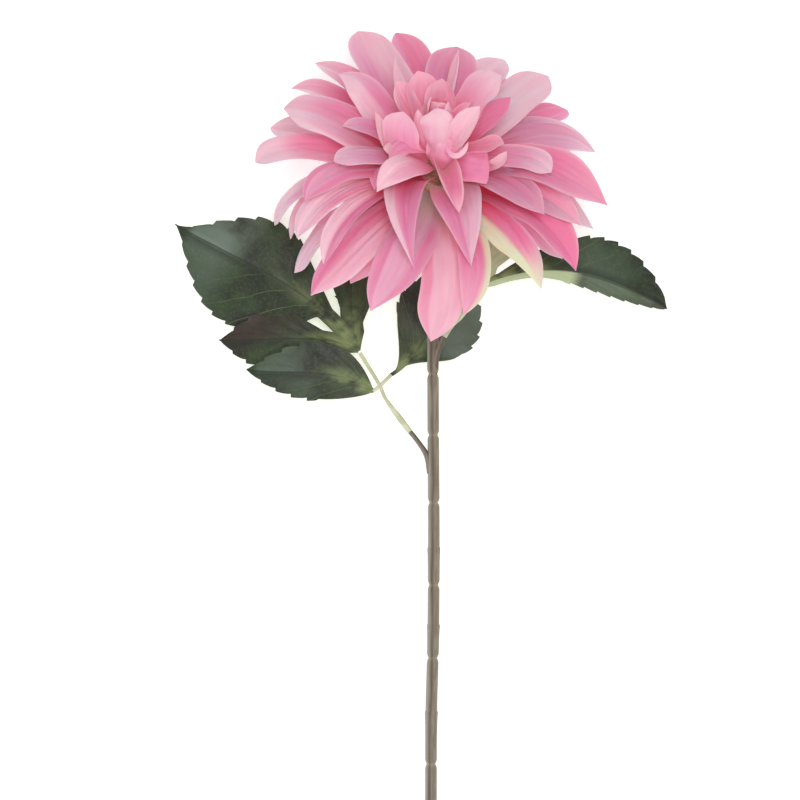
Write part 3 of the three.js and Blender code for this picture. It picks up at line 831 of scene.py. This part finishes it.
core = open_sheets()
core_start, core_end = CORE_PROFILE[0][0], CORE_PROFILE[-1][0]
rod(
    core, [on_axis(core_start), on_axis(15), on_axis(core_end)],
    lambda distance, angle: step_value(CORE_PROFILE, distance + core_start), sides=24,
)
finish_piece("bloom_core", core, moulded_olive(), "petal", "bloom")

# The calyx
# A small pale green cup under the core, with six thin bracts bent back along the stem. Soft moulded
# plastic, pushed on to the stem's end, which holds the bloom.
CALYX_OUTLINE = [(0, 3.3), (5, 5.3), (10, 8.5), (13, 8.5)]
CALYX_FOOT = -14.35
BRACT_COUNT = 6
BRACT_ROOT = -4.85
BRACT_LIFT = -62
BRACT_SHEET = 0.8 * MM
BRACT_GREEN = srgb(168, 184, 124)
BRACT_PALE = srgb(206, 212, 168)
GREEN_SCATTER = (0.6, 1.0, 0.3)


def moulded_green(name, dark, light, vein_color):
    """Soft green plastic: a mottle of two greens, and a vein colour where the dye's red is."""
    material, tree, shader = plain_material(name, dark, 0.5)
    vein = dye_and_light_masks(tree)[0]
    mottle = spread(tree, object_noise(tree, 160), 0.35, 0.7)
    color = mix_colors(tree, mottle, dark, light)
    color = mix_colors(tree, vein, color, vein_color)
    tree.links.new(color, shader.inputs["Base Color"])
    set_inputs(shader, {
        "Subsurface Weight": 0.2,
        "Subsurface Radius": GREEN_SCATTER,
        "Subsurface Scale": 1.5 * MM,
    })
    add_bump(tree, shader, object_noise(tree, 1400, detail=2), 0.15, 0.1 * MM)
    return material


calyx = open_sheets()
rod(
    calyx, [on_axis(CALYX_FOOT), on_axis(-8), on_axis(-1.35)],
    lambda distance, angle: step_value(CALYX_OUTLINE, distance) * (1 + 0.03 * cos(BRACT_COUNT * angle)),
    sides=36, ring_gap=0.8,
)
for number in range(BRACT_COUNT):
    petal(
        calyx, 360 / BRACT_COUNT * (number + 0.5), BRACT_LIFT, 17, 8, height=BRACT_ROOT, foot=5.5, bow=0.12,
        cup=0.1, fold=15, facet=0, tone=0.0, tip=0, rim=0.6, root=0, sheet=BRACT_SHEET, rows=16, columns=8,
    )
CALYX_MATERIAL = moulded_green("bract_green", BRACT_GREEN, BRACT_PALE, BRACT_PALE)
finish_piece("calyx_cup", calyx, CALYX_MATERIAL, "calyx", "calyx")

# The stem
# A wire-cored rod of taupe plastic, 6 mm thick. It is moulded with two lengthwise ridges, a dark seam,
# V grooves and stepped rings as on bamboo, and two short sockets for the leaf stalks.
STEM_LINE = [
    *in_mm((5, -200, 3.1), (5.2, -144, 8.9), (6.1, -107, 12.8), (6.4, -57, 18), (6.1, -2, 23.8)),
    *in_mm((5.9, 45, 28.7), (6.3, 78, 33), (7.2, 95, 38.5)), on_axis(-20), on_axis(-14.7),
]
STEM_LENGTH = smooth_line(STEM_LINE)[-1][0] / MM
GROOVES = (30, 84.5, 122, 164, 198.5, 229.5)
RAISED_RINGS = (57, 101.5, 141)
LEFT_SOCKET = in_mm((4.4, -22, 22), (2.8, -13.2, 23), (-1.4, -6.4, 23.9), (-5.9, -0.7, 24.5))
RIGHT_SOCKET = in_mm((6.6, 28, 27.2), (8, 38, 30.4), (11.7, 47.8, 33.3))
TAUPE = srgb(141, 132, 116)
TAUPE_DARK = srgb(119, 109, 93)
TAUPE_GREY = srgb(158, 157, 149)
SEAM_BROWN = srgb(84, 74, 52)
GROOVE_YELLOW = srgb(196, 186, 140)
STEM_RADIUS = 2.98
STEM_TAPER = 0.08
GROOVE_HALF = 2.2
GROOVE_DEPTH = 0.85
RING_RISE = 0.42
RING_FADE = 5
RIDGE_ANGLES = (2.3, -0.6)
SEAM_ANGLE = 1.8
STEM_STREAKS = (900, 40, 900)


def hump(value, middle, half):
    return exp(-(((value - middle) / half) ** 2))


def groove_mask(distance):
    return max(clamp(1 - abs(distance - at) / GROOVE_HALF) for at in GROOVES) ** 1.4


def ring_step(distance):
    """A raised ring: a sharp step on its upper side that fades out towards the cut end."""
    below = [at - distance for at in RAISED_RINGS]
    return max(smooth_step(-0.5, 0.5, gap) * exp(-max(gap, 0) / RING_FADE) for gap in below)


def stem_radius(distance, angle):
    ridge = hump(angle, RIDGE_ANGLES[0], 0.35) + 0.7 * hump(angle, RIDGE_ANGLES[1], 0.3)
    lengthwise = 0.1 * ridge - 0.12 * hump(angle, SEAM_ANGLE, 0.22)
    plain = STEM_RADIUS - STEM_TAPER * distance / STEM_LENGTH
    return plain + RING_RISE * ring_step(distance) - GROOVE_DEPTH * groove_mask(distance) + lengthwise


def stem_dye(distance, angle):
    """The yellow of the grooves, the grey of the flanks, and the dark seam, which wanders a little."""
    seam_angle = SEAM_ANGLE - 0.04 + 0.1 * sin(distance / 17) + 0.06 * sin(distance / 6)
    seam = hump(angle, seam_angle, 0.27) * (0.85 + 0.15 * sin(distance / 9))
    return 0.3 * groove_mask(distance) * cos(angle / 2) ** 2, smooth_step(1.95, 2.3, abs(angle)), seam, 0


def socket_dye(distance, angle):
    return 0, 0.6 * smooth_step(2, 2.6, abs(angle)), 0.9 - 0.8 * smooth_step(0.9, 2, angle), 0


def moulded_taupe():
    material, tree, shader = plain_material("moulded_taupe", TAUPE, 0.55)
    groove, grey, seam = dye_and_light_masks(tree)[:3]
    streaks = object_noise(tree, 1, STEM_STREAKS, 4)
    color = mix_colors(tree, spread(tree, streaks, 0.35, 0.7), TAUPE_DARK, TAUPE)
    color = mix_colors(tree, calculate(tree, "MULTIPLY", grey, 0.7), color, TAUPE_GREY)
    color = mix_colors(tree, seam, color, SEAM_BROWN)
    color = mix_colors(tree, groove, color, GROOVE_YELLOW)
    tree.links.new(color, shader.inputs["Base Color"])
    add_bump(tree, shader, streaks, 0.4, 0.3 * MM)
    return material


stem = open_sheets()
rod(stem, STEM_LINE, stem_radius, sides=32, ring_gap=0.65, dye_at=stem_dye)
for socket in (LEFT_SOCKET, RIGHT_SOCKET):
    socket_length = smooth_line(socket)[-1][0] / MM
    rod(
        stem, socket,
        lambda distance, angle: 1.5 - 0.25 * smooth_step(0.3, 0.7, distance / socket_length),
        sides=16, ring_gap=0.8, dye_at=socket_dye,
    )
finish_piece("stem_rod", stem, moulded_taupe(), "stem", "stem")

# The leaf stalks
# Thin rods of pale green plastic with a wire in them. Each is pushed into its socket on the stem. The left
# one forks to its three blades, which are welded to its ends.
LEFT_STALK = [
    *in_mm((-5.6, -1.1, 24.5), (-11.1, 6.1, 24), (-15.7, 12.2, 22.9), (-18.7, 16.8, 21.5)),
    *in_mm((-20.9, 22.1, 20), (-31, 38.8, 16.2)),
]
LEFT_FORK = LEFT_STALK[4]
LOWER_LEAFLET_FOOT, REAR_LEAFLET_FOOT = in_mm((-24.2, 19.5, 18.6), (-15.3, 27.7, 17.5))
LEFT_BLADE_FOOT, RIGHT_BLADE_FOOT = in_mm((-31.9, 40, 15.9), (30.1, 72.3, 37.6))
RIGHT_STALK = [
    *in_mm((11.4, 47.2, 33.2), (15.3, 53, 34.6), (19.9, 57.3, 35.5), (24.4, 63.8, 36.5)),
    *in_mm((29.2, 71, 37.4)),
]
STALK_GREEN = srgb(188, 198, 158)
STALK_PALE = srgb(210, 215, 182)
STALK_MATERIAL = moulded_green("stalk_green", STALK_GREEN, STALK_PALE, STALK_PALE)


def stalk(sheets, points, radii):
    length = smooth_line(points)[-1][0] / MM
    rod(
        sheets, points,
        lambda distance, angle: step_value(radii, distance / length) * (1 + 0.06 * cos(2 * angle)),
        sides=16, ring_gap=0.8,
        dye_at=lambda distance, angle: (0.3 * smooth_step(0.1, 0, distance / length), 0, 0, 0),
    )


left_stalk = open_sheets()
stalk(left_stalk, LEFT_STALK, [(0, 1.3), (0.18, 1.5), (0.42, 0.9), (1, 0.95)])
for leaflet_foot in (LOWER_LEAFLET_FOOT, REAR_LEAFLET_FOOT):
    stalk(left_stalk, [LEFT_FORK, (LEFT_FORK + leaflet_foot) / 2, leaflet_foot], [(0, 0.95), (1, 0.9)])
finish_piece("left_stalk", left_stalk, STALK_MATERIAL, "stalk", "left_leaf_stalk")
right_stalk = open_sheets()
stalk(right_stalk, RIGHT_STALK, [(0, 1.5), (0.4, 1.35), (1, 1.2)])
finish_piece("right_stalk", right_stalk, STALK_MATERIAL, "stalk", "right_leaf_stalk")

# The leaves
# Blades of printed polyester cloth, cut with a toothed edge and heat-pressed, so that the veins lie in
# grooves and the cloth swells between them. Each blade has its lobes joined at the foot.
LEAF_CLOTH = 0.5 * MM
TOOTH_DEPTH = 1.8
TEETH_FROM = 0.42
TEETH_TO = 0.985
SWELL = 0.45
MIDRIB_DEPTH = 0.7
ROWS_IN_A_TOOTH = 8
LOBE_COLUMNS = 26
VEIN_LEAN = 4.5
LEAF_DARK = srgb(24, 33, 20)
LEAF_GREEN = srgb(45, 62, 34)
LEAF_YELLOW = srgb(122, 140, 88)
LEAF_VEIN = srgb(104, 120, 78)
LEAF_BURGUNDY = srgb(52, 37, 30)
LEAF_UNDER = srgb(186, 202, 156)
# A painted sheen: grey-green patches that stand in for the reflection on the tilted leaf cloth
PAINTED_LEAF_SHEEN = srgb(108, 125, 112)
VEIN_EDGE = (0.035, 0.008)


def lobe_bump(v, widest, taper, pinched):
    """How wide one side of a lobe is at a share of its length, from 0 to 1."""
    bump = sin(pi * v ** (log(0.5) / log(widest))) ** taper
    return bump * smooth_step(*pinched, v) if pinched else bump


def lobe(
    sheets, foot, tip, *, width, widest, taper, bend, bow, slope, teeth, webbed=0.0, burgundy=0.0,
    sheen=(0, 0), sheen_from=0.62, pinched=(None, None), pale_until=0.0, flap=0.0, pale_sides=(0, 1),
):
    """One lobe of a blade. Pairs are its left and right side, seen from the foot to the tip. bend swings the
    midrib to the right near the foot and near the tip. webbed widens the foot, and a side opens between the
    two shares of its pinched pair. Its vertex colours hold a count that is whole at each side vein, the
    distance from the midrib in mm (left is negative), the share of the length, and the burgundy less the
    sheen, a painted reflection on the tilted cloth. The pale sides show the underside's colour up to
    pale_until, where they are folded over, and a flap's worth of it beyond."""
    span = Vector(tip) * MM - foot
    length = span.length / MM
    along = span.normalized()
    upper = (Vector((0, 0, 1)) - along * along.z).normalized()
    across = along.cross(upper)
    dye_and_light = sheets.verts.layers.float_color["dye_and_light"]
    under = sheets.verts.layers.float["under"]
    cloth = sheets.loops.layers.uv["cloth"]
    rows = ROWS_IN_A_TOOTH * teeth
    made = bmesh.ops.create_grid(sheets, x_segments=LOBE_COLUMNS, y_segments=rows, size=1)["verts"]
    faces = list({face for vertex in made for face in vertex.link_faces})
    for vertex in made:
        u = vertex.co.x**2 * (1 if vertex.co.x > 0 else -1) * 0.4 + vertex.co.x * 0.6
        v = (vertex.co.y + 1) / 2
        side = abs(u)
        hand = 0 if u < 0 else 1
        bump = lobe_bump(v, widest[hand], taper[hand], pinched[hand])
        in_tooth = (v * teeth + 1e-6) % 1
        tooth = in_tooth**0.7 * min(1, 3 * bump) if TEETH_FROM < v < TEETH_TO else 0
        least = 1.1 + min(30 * v, webbed) if v < 0.5 else 0.3
        smooth_half = max(bump * width[hand], least)
        half = smooth_half + tooth * TOOTH_DEPTH * side**3 * clamp(smooth_half / 10, 0.4, 1)
        vein_count = (v * teeth + VEIN_LEAN * (1 - side**0.8)) / 2
        off_vein = abs(vein_count - round(vein_count)) * 2
        midrib = hump(half * u, 0, 1.0 - 0.5 * v)
        edge = 1 - smooth_step(0.8, 1, side)
        swell = SWELL * (off_vein - 0.4) * min(1, smooth_half / 8) * edge * (1 - midrib)
        z = bow * 4 * v * (1 - v) + slope[hand] * half * side - MIDRIB_DEPTH * midrib * (1 - v) + swell
        z += 0.7 * sin(v * 14 + u * 2) * side * side * bump
        x = half * u + 6.75 * v * (1 - v) * (bend[0] * (1 - v) + bend[1] * v)
        y = length * v + 0.8 * tooth * side**3
        vertex.co = foot + (along * y + upper * z + across * x) * MM
        stain = burgundy * smooth_step(0.3, 0.9, v + 0.3 * hand - 0.15)
        # Where the painted sheen lies along the lobe
        shine = smooth_step(sheen_from, sheen_from + 0.16, v) * (1 - smooth_step(0.9, 0.95, v))
        vertex[dye_and_light] = (vein_count, half * u, v, stain - sheen[hand] * shine * (1 - 0.5 * side))
        if pale_sides[hand] and pale_until:
            vertex[under] = flap + (1 - flap) * (1 - smooth_step(pale_until - 0.04, pale_until + 0.04, v))
    for face in faces:
        for loop in face.loops:
            place = loop.vert.co - foot
            loop[cloth].uv = (place.dot(across) / MM / 100, place.dot(along) / MM / 100)
    thicken(sheets, faces, LEAF_CLOTH)


def free_math(tree, operation, first, second=0.0):
    """A sum that may go below 0 and above 1."""
    result = calculate(tree, operation, first, second)
    result.node.use_clamp = False
    return result


def leaf_cloth():
    material, tree, shader = plain_material("leaf_cloth", LEAF_GREEN, 0.42)
    vein_count, off_rib, share, burgundy, under = dye_and_light_masks(tree)
    weave = cloth_map(tree)
    wobble = free_math(tree, "MULTIPLY", object_noise(tree, 60), 0.3)
    near_vein = free_math(tree, "PINGPONG", free_math(tree, "ADD", vein_count, wobble), 0.5)
    near_rib = free_math(tree, "ABSOLUTE", off_rib)
    side_vein = spread(tree, near_vein, *VEIN_EDGE)
    lower_half = spread(tree, off_rib, 0.5, -1.5)
    patches = spread(tree, object_noise(tree, 38), 0.38, 0.62)
    net = spread(tree, object_noise(tree, 700, detail=2), 0.45, 0.7)
    color = mix_colors(tree, patches, LEAF_DARK, LEAF_GREEN)
    color = mix_colors(tree, calculate(tree, "MULTIPLY", net, 0.1), color, LEAF_YELLOW)
    # Painted sheen: paler grey-green patches where the reflection would lie on the cloth
    sheen = calculate(tree, "MULTIPLY", burgundy, -1)
    sheen = calculate(tree, "MULTIPLY", sheen, spread(tree, object_noise(tree, 40), 0.3, 0.55))
    color = mix_colors(tree, sheen, color, PAINTED_LEAF_SHEEN)
    near_foot = calculate(tree, "MULTIPLY", spread(tree, share, 0.58, 0.08), spread(tree, near_rib, 7, 0.5))
    foot_streaks = spread(tree, object_noise(tree, 110), 0.3, 0.6)
    near_foot = calculate(tree, "MULTIPLY", near_foot, foot_streaks)
    color = mix_colors(tree, near_foot, color, LEAF_YELLOW)
    stained = calculate(tree, "MULTIPLY", burgundy, spread(tree, object_noise(tree, 30), 0.3, 0.6))
    color = mix_colors(tree, stained, color, LEAF_BURGUNDY)
    lower_veins = calculate(tree, "MULTIPLY", lower_half, spread(tree, share, 0.8, 0.3))
    vein_light = calculate(tree, "MULTIPLY", side_vein, calculate(tree, "ADD", lower_veins, 0.12))
    color = mix_colors(tree, calculate(tree, "MULTIPLY", vein_light, 0.6), color, LEAF_VEIN)
    # Painted shade: darker along the midrib's lower side, and a painted shadow line in the midrib's groove
    rib_shade = calculate(tree, "MULTIPLY", spread(tree, off_rib, -6, -0.8), lower_half)
    rib_shade = calculate(tree, "MULTIPLY", rib_shade, spread(tree, share, 0.25, 0.5))
    color = mix_colors(tree, calculate(tree, "MULTIPLY", rib_shade, 0.6), color, LEAF_DARK)
    painted_rib_shadow = calculate(tree, "MULTIPLY", spread(tree, near_rib, 0.6, 0.2), spread(tree, share, 0.1, 0.5))
    color = mix_colors(tree, calculate(tree, "MULTIPLY", painted_rib_shadow, 0.7), color, LEAF_DARK)
    color = mix_colors(tree, calculate(tree, "MULTIPLY", under, 0.9), color, LEAF_UNDER)
    tree.links.new(color, shader.inputs["Base Color"])
    shader.inputs["Specular IOR Level"].default_value = 0.4
    threads = calculate(tree, "MULTIPLY", weave.outputs["Weave"], 0.05)
    puckers = calculate(tree, "ADD", object_noise(tree, 220), threads)
    creased = calculate(tree, "SUBTRACT", puckers, calculate(tree, "MULTIPLY", side_vein, 0.3))
    add_bump(tree, shader, creased, 0.45, 0.5 * MM)
    return material


LEAF_MATERIAL = leaf_cloth()

left_blade = open_sheets()
lobe(
    left_blade, LEFT_BLADE_FOOT, (-125.4, 104.7, 4), width=(31.5, 25), widest=(0.57, 0.6), taper=(1.3, 1.7),
    bend=(6.5, 1), bow=3, slope=(-0.25, -0.08), teeth=14, webbed=3, sheen=(0.5, 1),
    pinched=((0.18, 0.33), None),
)
lobe(
    left_blade, LEFT_BLADE_FOOT, (-103, 45.6, 4), width=(13, 14), widest=(0.62, 0.62), taper=(1.1, 1.2),
    bend=(4, 0), bow=1.5, slope=(-0.2, 0), teeth=10, webbed=4, burgundy=0.8,
)
lobe(
    left_blade, LEFT_BLADE_FOOT, (-34, 104, 8), width=(9, 14), widest=(0.6, 0.6), taper=(1.2, 1),
    bend=(-3, 0), bow=1, slope=(-0.15, -0.15), teeth=9, webbed=4.5, sheen=(0, 0.3),
)
finish_piece("left_blade", left_blade, LEAF_MATERIAL, "leaf", "left_leaf_blade")
lower_leaflet = open_sheets()
lobe(
    lower_leaflet, LOWER_LEAFLET_FOOT, (-88.9, 30.5, 9), width=(13, 16), widest=(0.43, 0.43),
    taper=(0.95, 0.95), bend=(4.5, 0), bow=3, slope=(-0.15, -0.05), teeth=8, sheen=(0.25, 0.5),
    sheen_from=0.35,
)
finish_piece("left_lower_leaflet", lower_leaflet, LEAF_MATERIAL, "leaf", "left_leaf_lower_leaflet")
rear_leaflet = open_sheets()
lobe(
    rear_leaflet, REAR_LEAFLET_FOOT, (19.8, 85.2, 8), width=(20, 23.5), widest=(0.53, 0.58),
    taper=(1.4, 0.85), bend=(5, 0), bow=2, slope=(-0.1, -0.1), teeth=10, sheen=(0.5, 0.9), sheen_from=0.25,
    pinched=(None, (0.02, 0.36)),
)
finish_piece("left_rear_leaflet", rear_leaflet, LEAF_MATERIAL, "leaf", "left_leaf_rear_leaflet")
right_blade = open_sheets()
lobe(
    right_blade, RIGHT_BLADE_FOOT, (125, 61.3, 10), width=(20, 6), widest=(0.64, 0.64), taper=(0.66, 0.8),
    bend=(-9, -5), bow=7, slope=(-0.2, -0.9), teeth=13, webbed=2, burgundy=0.2, sheen=(0.35, 0.6),
    sheen_from=0.4, pale_until=0.48, flap=0.08,
)
lobe(
    right_blade, RIGHT_BLADE_FOOT, (49.8, 121, 28), width=(12, 14), widest=(0.6, 0.6), taper=(1.4, 1.1),
    bend=(-1, 0), bow=2, slope=(-0.15, -0.15), teeth=8, webbed=4, pale_until=0.7, pale_sides=(1, 1),
)
finish_piece("right_blade", right_blade, LEAF_MATERIAL, "leaf", "right_leaf_blade")
